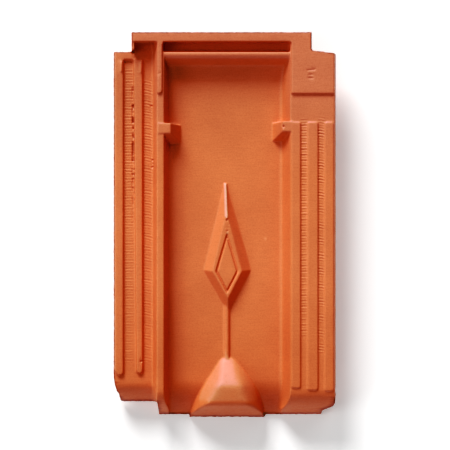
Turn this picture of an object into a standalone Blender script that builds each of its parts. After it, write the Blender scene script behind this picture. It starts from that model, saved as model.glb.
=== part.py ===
"""Pressed interlocking clay roof tile with a lozenge, modelled as one solid.

The tile lies on its underside. X runs across it, from the water channels at -X to the
cover side at +X. Y runs from the foot at -Y to the head at +Y. Z is up. The origin is under
the middle of the tile, on the surface that it rests on.
"""

import math

import bmesh
import bpy
from mathutils import Vector

MM = 0.001

# Overall size
TILE_LENGTH = 400 * MM
TILE_WIDTH = 230.8 * MM
NOSE_REACH = 2.8 * MM

# Levels above the surface that the tile rests on
PAN_LEVEL = 24 * MM
CHANNEL_LEVEL = 30 * MM
COVER_LEVEL = 44 * MM

# Wall thicknesses
PAN_THICKNESS = 12 * MM
UNDERLAP_THICKNESS = 11 * MM
COVER_THICKNESS = 10.5 * MM
LIP_THICKNESS = 10 * MM
SLOPE_WALL = 9.5 * MM

# The channels, the cover and the walls of the pan between them
CHANNELS_WIDTH = 41.1 * MM
COVER_WIDTH = 47.4 * MM
PAN_FILLET = 3.5 * MM
RAIL_FLANK_RUN = 4.1 * MM
RAIL_WIDTH = 7.2 * MM
RAIL_WALL_RUN = 5.2 * MM
RAIL_STRIP_PLACE = 0.3
RAIL_STRIP_SHARE = 0.43
COVER_SLOPE_RUN = 8.5 * MM

# The head: bar, groove, cross rib, its wall and the ramp below it
HEAD_STEP = 2.4 * MM
BAR_DEPTH = 9.9 * MM
GROOVE_WIDTH = 11.4 * MM
GROOVE_DEPTH = 11.5 * MM
GROOVE_DRAFT = 1.2 * MM
CROSS_RIB_WIDTH = 2.9 * MM
HEAD_WALL_RUN = 10 * MM
HEAD_WALL_KNEE = 0.66
HEAD_WALL_KNEE_RISE = 0.86
RAMP_LENGTH = 15.5 * MM
RAMP_RISE = 5.5 * MM
HEAD_THICKNESS = 11 * MM
PAD_LENGTH = 63.7 * MM
PAD_INSET = 1 * MM

# Plan of the head's corners
LEFT_NOTCH_WIDTH = 18.6 * MM
LEFT_NOTCH_DEPTH = 20.2 * MM
RECESS_RIM_WIDTH = 3.2 * MM
RECESS_RIM_DROP = 1.4 * MM
CORNER_SLOPE_SHARES = (0.9, 0.75, 0.05)
CORNER_SLOPE_INNER = 0.05
RIGHT_NOTCH_WIDTH = 25 * MM
RIGHT_NOTCH_DEPTH = 18.9 * MM
RIGHT_NOTCH_FALL = 3 * MM
CORNER_CHAMFER = 1 * MM
COVER_EDGE_BEVEL = 1.9 * MM

# Plan of the foot's corners
UNDERLAP_SETBACK = 13.6 * MM
UNDERLAP_CORNER_WIDTH = 8.7 * MM
UNDERLAP_CORNER_LENGTH = 24.7 * MM
UNDERLAP_CORNER_STEP = 10 * MM
UNDERLAP_CORNER_SHARES = (0.14, 0.4, 0.57, 0.78)
RAIL_FOOT_CUT = 4 * MM
COVER_CUT_WIDTH = 15.1 * MM
COVER_CUT_STEP = 4.7 * MM
COVER_CUT_LENGTH = 13 * MM
COVER_CORNER_LENGTH = 17 * MM

# The roll of the foot: where each surface starts to fall, and the height left at its edge
PAN_ROLL = 37.5 * MM
COVER_ROLL = 29.6 * MM
UNDERLAP_ROLL = 21.6 * MM
LIP_EDGE = 2 * MM
COVER_LIP_EDGE = 2.4 * MM
UNDERLAP_EDGE = 8 * MM
UNDERLAP_EDGE_WALL = 5.5 * MM
FOOT_SPLAY = 0.2
PAN_ROLL_POWER = 2.0
COVER_ROLL_POWER = 3.0
UNDERLAP_ROLL_POWER = 2.4

# Ribs of the water channels
RIB_HEIGHT = 3.5 * MM
RIB_DRAFT = 0.9 * MM
OUTER_RIB_WIDTH = 10.8 * MM
OUTER_RIB_INSET = 0.9 * MM
OUTER_CHANNEL_WIDTH = 9.7 * MM
INNER_RIB_WIDTH = 10.4 * MM
CHANNEL_RIB_END = 46.5 * MM
CORNER_BLOCK_DEPTH = 8.6 * MM
INNER_RIB_DROP = 8 * MM
CHANNEL_FILLET = 1.2 * MM

# Flat ribs on the cover
FLAT_RIB_HEIGHT = 1.5 * MM
FLAT_RIB_DRAFT = 0.7 * MM
FLAT_RIB_WIDTHS = (10.2 * MM, 11.7 * MM, 9.9 * MM)
FLAT_RIB_GAP = 6.3 * MM
FLAT_RIB_LEDGE = 0.8 * MM
FLAT_RIB_TOP = 107 * MM
FLAT_RIB_ENDS = (27.8 * MM, 25.6 * MM, 24.6 * MM)
FLAT_RIB_ROUND = 2.5 * MM

# Hooks on both sides of the pan
LEFT_HOOK_Y = 95 * MM
RIGHT_HOOK_Y = 97 * MM
HOOK_LENGTH = 10.4 * MM
HOOK_REACH = 7 * MM
HOOK_SPREAD_X = 10.5 * MM
HOOK_SPREAD_Y = 10.3 * MM
HOOK_BACK_DRAFT = 1 * MM
HOOK_BACK_SWEEP = 3.4 * MM
HOOK_OVERLAP = 1 * MM
LEFT_HOOK_RISE = 0.8 * MM
RIGHT_HOOK_RISE = 1.2 * MM

# The ornament on the pan: lozenge, ridge, stem and nose share one axis
ORNAMENT_X = 2.5 * MM
LOZENGE_HEIGHT = 8.5 * MM
LOZENGE_TIP = 157 * MM
LOZENGE_SHOULDER = 248 * MM
LOZENGE_FRAME_TOP = 193 * MM
LOZENGE_FRAME_BOTTOM = 276 * MM
LOZENGE_BASE_BOTTOM = 292 * MM
LOZENGE_BASE_HALF = 24.5 * MM
LOZENGE_FRAME_HALF = 15.2 * MM
RIDGE_HALF_WIDTH = 1.8 * MM
RIDGE_LEAN = 2 * MM
RIDGE_TIP_HEIGHT = 2.6 * MM
RIDGE_LIFT = 1.5 * MM
RIDGE_STRAIGHTEN = 0.75
RIDGE_TIP_SHARE = 0.8
SHOULDER_DROP = 1 * MM
FRAME_WIDTH = 3.2 * MM
FRAME_GROOVE_WIDTH = 2.4 * MM
FRAME_GROOVE_DEPTH = 1.8 * MM
FRAME_TOP_ROOM = 4.5
FRAME_BOTTOM_ROOM = 1.5
FRAME_POINT_STRETCH = 1.7
STEM_HALF_WIDTH = 4.6 * MM
STEM_HEIGHT = 2.6 * MM

# The nose
NOSE_LENGTH = 63 * MM
NOSE_CREST = 33 * MM
NOSE_BROW = 13.5 * MM
NOSE_HEIGHT = 20 * MM
NOSE_BROW_FALL = 2.6 * MM
NOSE_TIP_HALF = 4 * MM
NOSE_FACET_HALF = 21 * MM
NOSE_SKEW = 2.2 * MM
NOSE_SKEW_POWER = 1.6
NOSE_BASE_HALF = 39.5 * MM
NOSE_FRONT_HALF = 37.5 * MM
NOSE_WALL = 11 * MM
NOSE_LIFT = 0.5 * MM
NOSE_FLANK_MIN = 1 * MM
NOSE_FLANK_STRIPS = 4
NOSE_FLANK_POWER = 1.6
NOSE_CREST_ROUND = 0.25
NOSE_BROW_POWER = 1.4
NOSE_FRONT_ROUND = 0.28
NOSE_FACET_POWER = 1.8
NOSE_BASE_POWER = 1.45
NOSE_RINGS = 30
NOSE_RING_POWER = 1.15
POCKET_ROOF = 12 * MM
POCKET_HALF_WIDTH = 20 * MM
POCKET_TOP_HALF_WIDTH = 9 * MM
POCKET_BACK = 44 * MM
POCKET_TOP_BACK = 24 * MM
POCKET_DRAFT = 3 * MM

# The underside
LUG_WIDTH = 30 * MM
LUG_LENGTH = 15 * MM
LUG_SPACING = 84 * MM
LUG_FACE_Y = 134 * MM
LUG_DRAFT = 2.5 * MM
LOCK_RIB_WIDTH = 6 * MM
LOCK_RIB_DEPTH = 3 * MM
LOCK_RIB_DRAFT = 1 * MM
SIDE_LAP = 40.8 * MM

# How far a cutter or a joined shape runs past the surface that it meets
OVERRUN = 6 * MM
SINK = 3 * MM

# The least depth that a space keeps where it runs out at the foot
LEAST_DEPTH = 0.5 * MM

# Clay
CLAY_COLOUR = (0.60, 0.155, 0.042, 1.0)
CLAY_ROUGHNESS = 0.82

# Places worked out from the sizes above
HEAD = TILE_LENGTH / 2
NOSE_FRONT = -TILE_LENGTH / 2
FOOT = NOSE_FRONT + NOSE_REACH
LEFT = -TILE_WIDTH / 2
RIGHT = TILE_WIDTH / 2
UNDERLAP_FOOT = FOOT + UNDERLAP_SETBACK
HEAD_LEVEL = COVER_LEVEL + HEAD_STEP
CHANNEL_RIGHT = LEFT + CHANNELS_WIDTH
RAIL_LEFT = CHANNEL_RIGHT + RAIL_FLANK_RUN
RAIL_RIGHT = RAIL_LEFT + RAIL_WIDTH
PAN_LEFT = RAIL_RIGHT + RAIL_WALL_RUN
COVER_LEFT = RIGHT - COVER_WIDTH
PAN_RIGHT = COVER_LEFT - COVER_SLOPE_RUN
BAR_EDGE = HEAD - BAR_DEPTH
CROSS_RIB_TOP = BAR_EDGE - GROOVE_WIDTH
CROSS_RIB_FOOT = CROSS_RIB_TOP - CROSS_RIB_WIDTH
RAMP_TOP = CROSS_RIB_FOOT - HEAD_WALL_RUN
RAMP_FOOT = RAMP_TOP - RAMP_LENGTH
PAN_UNDERSIDE = PAN_LEVEL - PAN_THICKNESS
UNDERLAP_UNDERSIDE = CHANNEL_LEVEL - UNDERLAP_THICKNESS
COVER_UNDERSIDE = COVER_LEVEL - COVER_THICKNESS


def object_from(name, bm):
    """Makes an object from a bmesh whose faces are turned outwards and cut into triangles."""
    bmesh.ops.remove_doubles(bm, verts=bm.verts, dist=0.00002)
    bmesh.ops.recalc_face_normals(bm, faces=bm.faces)
    bmesh.ops.triangulate(bm, faces=bm.faces, quad_method="FIXED", ngon_method="EAR_CLIP")
    mesh = bpy.data.meshes.new(name)
    bm.to_mesh(mesh)
    bm.free()
    made = bpy.data.objects.new(name, mesh)
    bpy.context.scene.collection.objects.link(made)
    return made


def loft(name, rings):
    """Closes a stack of rings, each with the same number of points, into one solid."""
    bm = bmesh.new()
    rows = [[bm.verts.new(point) for point in ring] for ring in rings]
    count = len(rows[0])
    for near, far in zip(rows, rows[1:]):
        for i in range(count):
            j = (i + 1) % count
            bm.faces.new((near[i], near[j], far[j], far[i]))
    bm.faces.new(list(reversed(rows[0])))
    bm.faces.new(rows[-1])
    return object_from(name, bm)


def prism(name, bottom, top, low, high):
    """Stands a solid between two plan outlines with the same number of points."""
    rings = [[Vector((x, y, low)) for x, y in bottom], [Vector((x, y, high)) for x, y in top]]
    return loft(name, rings)


def box_outline(x0, x1, y0, y1):
    return [(x0, y0), (x1, y0), (x1, y1), (x0, y1)]


def offset_outline(outline, distance):
    """Moves each side of a counter-clockwise plan outline inwards by a distance."""
    moved = []
    count = len(outline)
    for i in range(count):
        before = Vector(outline[i - 1])
        here = Vector(outline[i])
        after = Vector(outline[(i + 1) % count])
        into = (here - before).normalized()
        out = (after - here).normalized()
        normal_in = Vector((-into.y, into.x))
        normal_out = Vector((-out.y, out.x))
        bisector = (normal_in + normal_out).normalized()
        stretch = 1 / max(0.3, bisector.dot(normal_in))
        moved.append(tuple(here + bisector * distance * stretch))
    return moved


def arc(centre_x, centre_y, radius_x, radius_y, start, end, steps):
    """Points along an elliptic arc, angles in degrees."""
    points = []
    for i in range(steps + 1):
        angle = math.radians(start + (end - start) * i / steps)
        points.append((centre_x + radius_x * math.cos(angle), centre_y + radius_y * math.sin(angle)))
    return points


def combine(body, tool, operation):
    """Applies one Boolean to the body and removes the shape it was made with."""
    modifier = body.modifiers.new(operation.title(), "BOOLEAN")
    modifier.operation = operation
    modifier.solver = "EXACT"
    modifier.object = tool
    depsgraph = bpy.context.evaluated_depsgraph_get()
    result = bpy.data.meshes.new_from_object(body.evaluated_get(depsgraph), depsgraph=depsgraph)
    body.modifiers.clear()
    spent = body.data
    body.data = result
    bpy.data.meshes.remove(spent)
    tool_mesh = tool.data
    bpy.data.objects.remove(tool)
    bpy.data.meshes.remove(tool_mesh)


def fall(distance, start, depth, power):
    """How far a surface has rolled down at a distance from its edge."""
    if distance >= start:
        return 0.0
    return depth * ((start - distance) / start) ** power


def along(distance, points):
    """Height at a distance, on straight lines between (distance, height) pairs."""
    if distance <= points[0][0]:
        return points[0][1]
    for (d0, z0), (d1, z1) in zip(points, points[1:]):
        if distance <= d1:
            return z0 + (z1 - z0) * (distance - d0) / (d1 - d0)
    return points[-1][1]


def pan_floor(y):
    depth = PAN_LEVEL - LIP_EDGE
    return PAN_LEVEL - fall(y - FOOT, PAN_ROLL, depth, PAN_ROLL_POWER)


def cover_top(y):
    depth = COVER_LEVEL - COVER_LIP_EDGE
    return COVER_LEVEL - fall(y - FOOT, COVER_ROLL, depth, COVER_ROLL_POWER)


def channel_floor(y):
    depth = CHANNEL_LEVEL - UNDERLAP_EDGE
    return CHANNEL_LEVEL - fall(y - UNDERLAP_FOOT, UNDERLAP_ROLL, depth, UNDERLAP_ROLL_POWER)


def pan_underside(y):
    """Flat under the pan, and down to the resting lip at the foot."""
    head_low = RAMP_FOOT + PAN_THICKNESS / 2
    head_high = RAMP_TOP
    head_under = HEAD_LEVEL - GROOVE_DEPTH - HEAD_THICKNESS
    roll = [(LIP_THICKNESS, 0.0), (LIP_THICKNESS + 1.4 * PAN_THICKNESS, PAN_UNDERSIDE)]
    head = [(head_low, PAN_UNDERSIDE), (head_high, head_under)]
    if y < 0:
        return along(y - FOOT, roll)
    return along(y, head)


def cover_underside(y):
    """Flat under the cover, closed at the foot by the inner face of the lip."""
    bend = COVER_THICKNESS / 2
    inner = [
        (LIP_THICKNESS, 0.0),
        (LIP_THICKNESS + 0.25 * bend, COVER_UNDERSIDE - 2.6 * bend),
        (LIP_THICKNESS + bend, COVER_UNDERSIDE - bend),
        (LIP_THICKNESS + 2 * bend, COVER_UNDERSIDE - 0.25 * bend),
        (COVER_ROLL, COVER_UNDERSIDE),
    ]
    return along(y - FOOT, inner)


def underlap_underside(y):
    """Flat under the channels, and down with their roll."""
    if y < UNDERLAP_FOOT:
        return 0.0
    edge = UNDERLAP_EDGE - UNDERLAP_EDGE_WALL
    middle = UNDERLAP_UNDERSIDE - 0.28 * (UNDERLAP_UNDERSIDE - edge)
    under = [(0.0, edge), (UNDERLAP_ROLL / 2, middle), (UNDERLAP_ROLL, UNDERLAP_UNDERSIDE)]
    return along(y - UNDERLAP_FOOT, under)


def foot_stations(start):
    """Places along Y, close together where the foot rolls down."""
    steps = 30
    roll_top = max(PAN_ROLL, COVER_ROLL, UNDERLAP_SETBACK + UNDERLAP_ROLL)
    stations = [start]
    for i in range(1, steps + 1):
        stations.append(FOOT + roll_top * (i / steps))
    return stations


def left_wall(z):
    """X of the pan's wall under the rail."""
    rise = COVER_LEVEL - PAN_LEVEL
    return PAN_LEFT - RAIL_WALL_RUN * (z - PAN_LEVEL) / rise


def right_wall(z):
    """X of the slope from the pan up to the cover."""
    rise = COVER_LEVEL - PAN_LEVEL
    return PAN_RIGHT + COVER_SLOPE_RUN * (z - PAN_LEVEL) / rise


def slab():
    """The whole tile as a block: true underside, flat top at the level of the cover."""
    slope = COVER_SLOPE_RUN / (COVER_LEVEL - PAN_LEVEL)
    inner_top = right_wall(COVER_UNDERSIDE) + SLOPE_WALL
    rings = []
    lip_end = LIP_THICKNESS * 1.001
    stations = foot_stations(FOOT) + [FOOT + lip_end, FOOT + LIP_THICKNESS + COVER_THICKNESS / 8]
    stations += [UNDERLAP_FOOT]
    stations += [RAMP_FOOT + PAN_THICKNESS / 2, RAMP_TOP, HEAD + OVERRUN]
    for y in sorted(stations):
        pan = pan_underside(y)
        cover = max(cover_underside(y), min(pan, COVER_UNDERSIDE))
        underlap = min(underlap_underside(y), UNDERLAP_UNDERSIDE)
        if y > 0:
            underlap = UNDERLAP_UNDERSIDE
        inner_low = inner_top - slope * (COVER_UNDERSIDE - pan)
        under_rail = CHANNEL_RIGHT + (UNDERLAP_UNDERSIDE - PAN_UNDERSIDE)
        rings.append([
            Vector((LEFT - OVERRUN, y, underlap)),
            Vector((CHANNEL_RIGHT, y, underlap)),
            Vector((under_rail, y, pan)),
            Vector((inner_low, y, pan)),
            Vector((inner_top, y, cover)),
            Vector((RIGHT + OVERRUN, y, cover)),
            Vector((RIGHT + OVERRUN, y, cover_top(y))),
            Vector((LEFT - OVERRUN, y, cover_top(y))),
        ])
    return loft("clay_tile", rings)


def raised_head():
    """One step higher than the cover: head bar, pad, and the upper end of the rail."""
    pad_foot = HEAD - PAD_LENGTH
    rail_middle = RAIL_LEFT + RAIL_STRIP_PLACE * RAIL_WIDTH
    strip_half = RAIL_STRIP_SHARE * RAIL_WIDTH
    outline = [(LEFT - OVERRUN, HEAD + OVERRUN), (LEFT - OVERRUN, BAR_EDGE - SINK)]
    outline += [(rail_middle - strip_half, BAR_EDGE - SINK)]
    outline += arc(rail_middle, pad_foot + strip_half, strip_half, strip_half, 180, 360, 10)
    outline += [(rail_middle + strip_half, BAR_EDGE - SINK)]
    outline += [(COVER_LEFT - SINK, BAR_EDGE - SINK), (COVER_LEFT + PAD_INSET, BAR_EDGE)]
    outline += [(COVER_LEFT + PAD_INSET, pad_foot), (RIGHT + OVERRUN, pad_foot)]
    outline += [(RIGHT + OVERRUN, HEAD + OVERRUN)]
    return prism("raised_head", outline, outline, COVER_LEVEL - SINK, HEAD_LEVEL)


def pan_ring(y, floor, ceiling):
    """One cross section of the space over the pan, with rounded bottom corners."""
    low = max(floor, PAN_LEVEL)
    left_foot = left_wall(low)
    right_foot = right_wall(low) - FOOT_SPLAY * (low - floor)
    crease = min(max(ceiling, PAN_LEVEL + LEAST_DEPTH), COVER_LEVEL)
    wall_top = ceiling + 0.1 * (ceiling - floor)
    share_up = (wall_top - floor) / (ceiling - floor)
    left_top = left_foot + (left_wall(crease) - left_foot) * share_up
    right_top = right_foot + (right_wall(crease) - right_foot) * share_up
    fillet = min(PAN_FILLET, 0.4 * (ceiling - floor))
    ring = []
    steps = 4
    left_run = (left_top - left_foot) / (wall_top - floor)
    right_run = (right_top - right_foot) / (wall_top - floor)
    for i in range(steps + 1):
        share = i / steps
        rise = fillet * (1 - share) ** 2
        shift = fillet * share ** 2
        ring.append(Vector((left_foot + left_run * rise + shift, y, floor + rise)))
    for i in range(steps + 1):
        share = i / steps
        rise = fillet * share ** 2
        shift = fillet * (1 - share) ** 2
        ring.append(Vector((right_foot + right_run * rise - shift, y, floor + rise)))
    ring.append(Vector((right_top, y, wall_top)))
    ring.append(Vector((right_top, y, HEAD_LEVEL + OVERRUN)))
    ring.append(Vector((left_top, y, HEAD_LEVEL + OVERRUN)))
    ring.append(Vector((left_top, y, wall_top)))
    return ring


def head_wall_rise(share):
    """How far the wall at the head of the pan has risen. It is steep up to its knee."""
    if share <= HEAD_WALL_KNEE:
        return HEAD_WALL_KNEE_RISE * share / HEAD_WALL_KNEE
    return 1 - (1 - HEAD_WALL_KNEE_RISE) * (1 - share) / (1 - HEAD_WALL_KNEE)


def pan_space():
    """The space over the pan, with the ramp and the wall at its head."""
    rings = []
    for y in foot_stations(FOOT - SINK):
        floor = pan_floor(y)
        rings.append(pan_ring(y, floor, max(cover_top(y), floor + LEAST_DEPTH)))
    rings.append(pan_ring(RAMP_FOOT - RAMP_LENGTH / 4, PAN_LEVEL, COVER_LEVEL))
    rings.append(pan_ring(RAMP_FOOT, PAN_LEVEL + RAMP_RISE / 40, COVER_LEVEL))
    rings.append(pan_ring(RAMP_TOP - HEAD_WALL_RUN / 10, PAN_LEVEL + RAMP_RISE * 0.95, COVER_LEVEL))
    wall_rise = COVER_LEVEL - PAN_LEVEL - RAMP_RISE
    for share in (HEAD_WALL_KNEE / 8, HEAD_WALL_KNEE, (1 + HEAD_WALL_KNEE) / 2):
        level = PAN_LEVEL + RAMP_RISE + wall_rise * head_wall_rise(share)
        rings.append(pan_ring(RAMP_TOP + HEAD_WALL_RUN * share, level, COVER_LEVEL))
    past = SINK / 2
    level = COVER_LEVEL + wall_rise * (head_wall_rise(1 + past / HEAD_WALL_RUN) - 1)
    rings.append(pan_ring(CROSS_RIB_FOOT + past, level, level + HEAD_STEP))
    return loft("pan_space", rings)


def channel_space():
    """The space over the underlap, from the foot up to the head bar."""
    rings = []
    stations = foot_stations(FOOT - SINK) + [BAR_EDGE - SINK, BAR_EDGE]
    for y in stations:
        floor = channel_floor(max(y, UNDERLAP_FOOT - SINK))
        ceiling = max(cover_top(y), floor + LEAST_DEPTH)
        flank_top = ceiling + 0.1 * (ceiling - floor)
        flank_x = CHANNEL_RIGHT + 1.1 * RAIL_FLANK_RUN
        rings.append([
            Vector((LEFT - 2 * OVERRUN, y, floor)),
            Vector((CHANNEL_RIGHT - CHANNEL_FILLET, y, floor)),
            Vector((CHANNEL_RIGHT + 0.08 * RAIL_FLANK_RUN, y, floor + 0.1 * (ceiling - floor))),
            Vector((flank_x, y, flank_top)),
            Vector((flank_x, y, HEAD_LEVEL + OVERRUN)),
            Vector((LEFT - 2 * OVERRUN, y, HEAD_LEVEL + OVERRUN)),
        ])
    return loft("channel_space", rings)


def head_groove():
    """The trench between the head bar and the cross rib."""
    floor = HEAD_LEVEL - GROOVE_DEPTH
    top = HEAD_LEVEL + OVERRUN
    spread = GROOVE_DRAFT * (top - floor) / GROOVE_DEPTH
    left = RAIL_RIGHT - GROOVE_DRAFT
    right = COVER_LEFT
    bottom_outline = box_outline(left + GROOVE_DRAFT, right - GROOVE_DRAFT, CROSS_RIB_TOP + GROOVE_DRAFT,
                                 BAR_EDGE - GROOVE_DRAFT)
    top_outline = box_outline(left + GROOVE_DRAFT - spread, right - GROOVE_DRAFT + spread,
                              CROSS_RIB_TOP + GROOVE_DRAFT - spread, BAR_EDGE - GROOVE_DRAFT + spread)
    return prism("head_groove", bottom_outline, top_outline, floor, top)


def plan_outline():
    """The tile seen from above, counter-clockwise from the foot of the rail."""
    rail_foot_x = RAIL_LEFT + RAIL_FOOT_CUT * 0.4
    step_y = UNDERLAP_FOOT + UNDERLAP_CORNER_STEP
    slant, step, ledge, fall_off = UNDERLAP_CORNER_SHARES
    corner = [
        (LEFT, UNDERLAP_FOOT + UNDERLAP_CORNER_LENGTH),
        (LEFT + slant * UNDERLAP_CORNER_WIDTH, (step_y + UNDERLAP_FOOT + UNDERLAP_CORNER_LENGTH) / 2),
        (LEFT + step * UNDERLAP_CORNER_WIDTH, step_y),
        (LEFT + ledge * UNDERLAP_CORNER_WIDTH, step_y - CORNER_CHAMFER / 2),
        (LEFT + fall_off * UNDERLAP_CORNER_WIDTH, UNDERLAP_FOOT + 2 * CORNER_CHAMFER),
        (LEFT + UNDERLAP_CORNER_WIDTH, UNDERLAP_FOOT),
    ]
    cover_corner_y = FOOT + COVER_CORNER_LENGTH
    notch_high = HEAD - RIGHT_NOTCH_DEPTH
    notch_low = notch_high - RIGHT_NOTCH_FALL
    points = [
        (rail_foot_x, FOOT - OVERRUN),
        (RIGHT - COVER_CUT_WIDTH - 0.1 * COVER_CUT_STEP, FOOT - OVERRUN),
        (RIGHT - COVER_CUT_WIDTH, FOOT),
        (RIGHT - COVER_CUT_WIDTH + 0.35 * COVER_CUT_STEP, FOOT + COVER_CUT_STEP),
        (RIGHT - 0.17 * COVER_CUT_WIDTH, FOOT + 0.68 * COVER_CUT_LENGTH),
        (RIGHT - 0.05 * COVER_CUT_WIDTH, FOOT + COVER_CUT_LENGTH),
        (RIGHT, cover_corner_y),
        (RIGHT, notch_low - CORNER_CHAMFER),
        (RIGHT - CORNER_CHAMFER, notch_low),
        (RIGHT - RIGHT_NOTCH_WIDTH + CORNER_CHAMFER, notch_high),
        (RIGHT - RIGHT_NOTCH_WIDTH, notch_high + CORNER_CHAMFER),
        (RIGHT - RIGHT_NOTCH_WIDTH, HEAD),
        (LEFT + LEFT_NOTCH_WIDTH, HEAD),
        (LEFT + LEFT_NOTCH_WIDTH, HEAD - LEFT_NOTCH_DEPTH),
        (LEFT, HEAD - LEFT_NOTCH_DEPTH),
    ]
    points += corner
    points += [(RAIL_LEFT - RAIL_FOOT_CUT * 0.4, UNDERLAP_FOOT)]
    points += [(RAIL_LEFT, UNDERLAP_FOOT - CORNER_CHAMFER / 2)]
    points += [(rail_foot_x, FOOT + CORNER_CHAMFER)]
    return points


def recess_rim():
    """The thin rim that closes the recess beside the head bar on its outer side."""
    left = LEFT + LEFT_NOTCH_WIDTH
    foot = HEAD - LEFT_NOTCH_DEPTH + CORNER_CHAMFER
    outline = box_outline(left - OVERRUN, left + RECESS_RIM_WIDTH, foot, BAR_EDGE + SINK)
    return prism("recess_rim", outline, outline, CHANNEL_LEVEL - SINK, HEAD_LEVEL - RECESS_RIM_DROP)


def corner_slope():
    """The slope from the corner block down to the inner channel and up the recess."""
    block_top = HEAD - LEFT_NOTCH_DEPTH
    block_foot = block_top - CORNER_BLOCK_DEPTH
    left = LEFT + OUTER_RIB_WIDTH + OUTER_CHANNEL_WIDTH
    right = CHANNEL_RIGHT - CHANNEL_FILLET
    rings = []
    stations = (block_foot, block_top - CORNER_CHAMFER, BAR_EDGE - CORNER_CHAMFER)
    for y, share in zip(stations, CORNER_SLOPE_SHARES):
        rings.append([
            Vector((left, y, CHANNEL_LEVEL - SINK)),
            Vector((right, y, CHANNEL_LEVEL - SINK)),
            Vector((right, y, CHANNEL_LEVEL + CORNER_SLOPE_INNER * share * RIB_HEIGHT)),
            Vector((left, y, CHANNEL_LEVEL + share * RIB_HEIGHT)),
        ])
    return loft("corner_slope", rings)


def cover_edge_bevel():
    """The wedge cut away along the outer edge of the cover."""
    top = HEAD_LEVEL + OVERRUN
    slant = COVER_EDGE_BEVEL / (HEAD_LEVEL - COVER_UNDERSIDE)
    rings = []
    for y in (FOOT - OVERRUN, HEAD - RIGHT_NOTCH_DEPTH + OVERRUN):
        rings.append([
            Vector((RIGHT, y, COVER_UNDERSIDE)),
            Vector((RIGHT + OVERRUN, y, COVER_UNDERSIDE)),
            Vector((RIGHT + OVERRUN, y, top)),
            Vector((RIGHT - slant * (top - COVER_UNDERSIDE), y, top)),
        ])
    return loft("cover_edge_bevel", rings)


def channel_ribs():
    """Both ribs of the water channels, joined at the head by the corner block."""
    inner_left = LEFT + OUTER_RIB_WIDTH + OUTER_CHANNEL_WIDTH
    inner_right = inner_left + INNER_RIB_WIDTH
    outer_right = LEFT + OUTER_RIB_WIDTH
    block_top = HEAD - LEFT_NOTCH_DEPTH
    block_foot = block_top - CORNER_BLOCK_DEPTH
    foot = FOOT + CHANNEL_RIB_END
    outer_half = 0.4 * OUTER_RIB_WIDTH
    inner_half = 0.36 * INNER_RIB_WIDTH
    outline = [(LEFT + OUTER_RIB_INSET, block_top + OVERRUN), (LEFT + OUTER_RIB_INSET, foot)]
    outline += arc(outer_right - outer_half, foot - outer_half / 3, outer_half, outer_half, 235, 360, 8)
    outline += [(outer_right, block_foot - CHANNEL_FILLET), (outer_right + CHANNEL_FILLET, block_foot)]
    outline += [(inner_left - CHANNEL_FILLET, block_foot), (inner_left, block_foot - CHANNEL_FILLET)]
    outline += arc(inner_right - inner_half, foot, inner_half, inner_half, 180, 360, 10)
    inner_head = block_top - INNER_RIB_DROP
    outline += [(inner_right, inner_head), (inner_left, inner_head + CHANNEL_FILLET)]
    outline += [(inner_left - CHANNEL_FILLET, block_top + OVERRUN)]
    top = CHANNEL_LEVEL + RIB_HEIGHT
    inward = offset_outline(outline, RIB_DRAFT)
    outward = offset_outline(outline, -RIB_DRAFT * SINK / RIB_HEIGHT)
    return prism("channel_ribs", outward, inward, CHANNEL_LEVEL - SINK, top)


def flat_ribs():
    """The three flat ribs on the cover."""
    made = []
    left = COVER_LEFT + FLAT_RIB_LEDGE
    for number, width in enumerate(FLAT_RIB_WIDTHS):
        right = left + width
        foot = FOOT + FLAT_RIB_ENDS[number]
        radius = FLAT_RIB_ROUND
        outline = [(left, FLAT_RIB_TOP - radius), (left, foot + radius)]
        outline += arc(left + radius, foot + radius, radius, radius, 180, 270, 4)[1:]
        outline += arc(right - radius, foot + radius, radius, radius, 270, 360, 4)
        outline += arc(right - radius, FLAT_RIB_TOP - radius, radius, radius, 0, 90, 4)
        outline += arc(left + radius, FLAT_RIB_TOP - radius, radius, radius, 90, 180, 4)[:-1]
        inward = offset_outline(outline, FLAT_RIB_DRAFT)
        outward = offset_outline(outline, -FLAT_RIB_DRAFT * SINK / FLAT_RIB_HEIGHT)
        top = COVER_LEVEL + FLAT_RIB_HEIGHT
        made.append(prism("flat_rib", outward, inward, COVER_LEVEL - SINK, top))
        left = right + FLAT_RIB_GAP
    return made


def hook(side):
    """A gusset between the pan and its wall. Side is -1 at the rail and 1 at the cover."""
    if side < 0:
        foot_y = LEFT_HOOK_Y
        edge = RAIL_RIGHT
        anchor = RAIL_LEFT + HOOK_OVERLAP
        root = PAN_LEFT - RAIL_WALL_RUN / 2
        top = COVER_LEVEL + LEFT_HOOK_RISE
    else:
        foot_y = RIGHT_HOOK_Y
        edge = COVER_LEFT - HOOK_OVERLAP
        anchor = COVER_LEFT + FLAT_RIB_LEDGE + 2 * HOOK_OVERLAP
        root = PAN_RIGHT + SLOPE_WALL / 2
        top = COVER_LEVEL + RIGHT_HOOK_RISE
    head_y = foot_y + HOOK_LENGTH
    low = PAN_LEVEL - SINK
    spread = 1 + SINK / (top - PAN_LEVEL)
    tip = edge - side * HOOK_REACH
    spread_tip = tip - side * HOOK_SPREAD_X * spread
    spread_foot = foot_y - HOOK_SPREAD_Y * spread
    spread_head = head_y + HOOK_BACK_DRAFT * spread
    bottom = [(root, spread_foot), (spread_tip, spread_foot)]
    bottom += [(spread_tip, spread_head - HOOK_BACK_SWEEP), (root, spread_head)]
    upper = [(anchor, foot_y), (tip, foot_y), (tip, head_y), (anchor, head_y)]
    if side < 0:
        bottom = list(reversed(bottom))
        upper = list(reversed(upper))
    return prism("hook", bottom, upper, low, top)


def kite(centre_x, top_y, middle_y, bottom_y, half):
    """A four-sided lozenge outline, counter-clockwise from its top."""
    return [(centre_x, top_y), (centre_x - half, middle_y), (centre_x, bottom_y), (centre_x + half, middle_y)]


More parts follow.
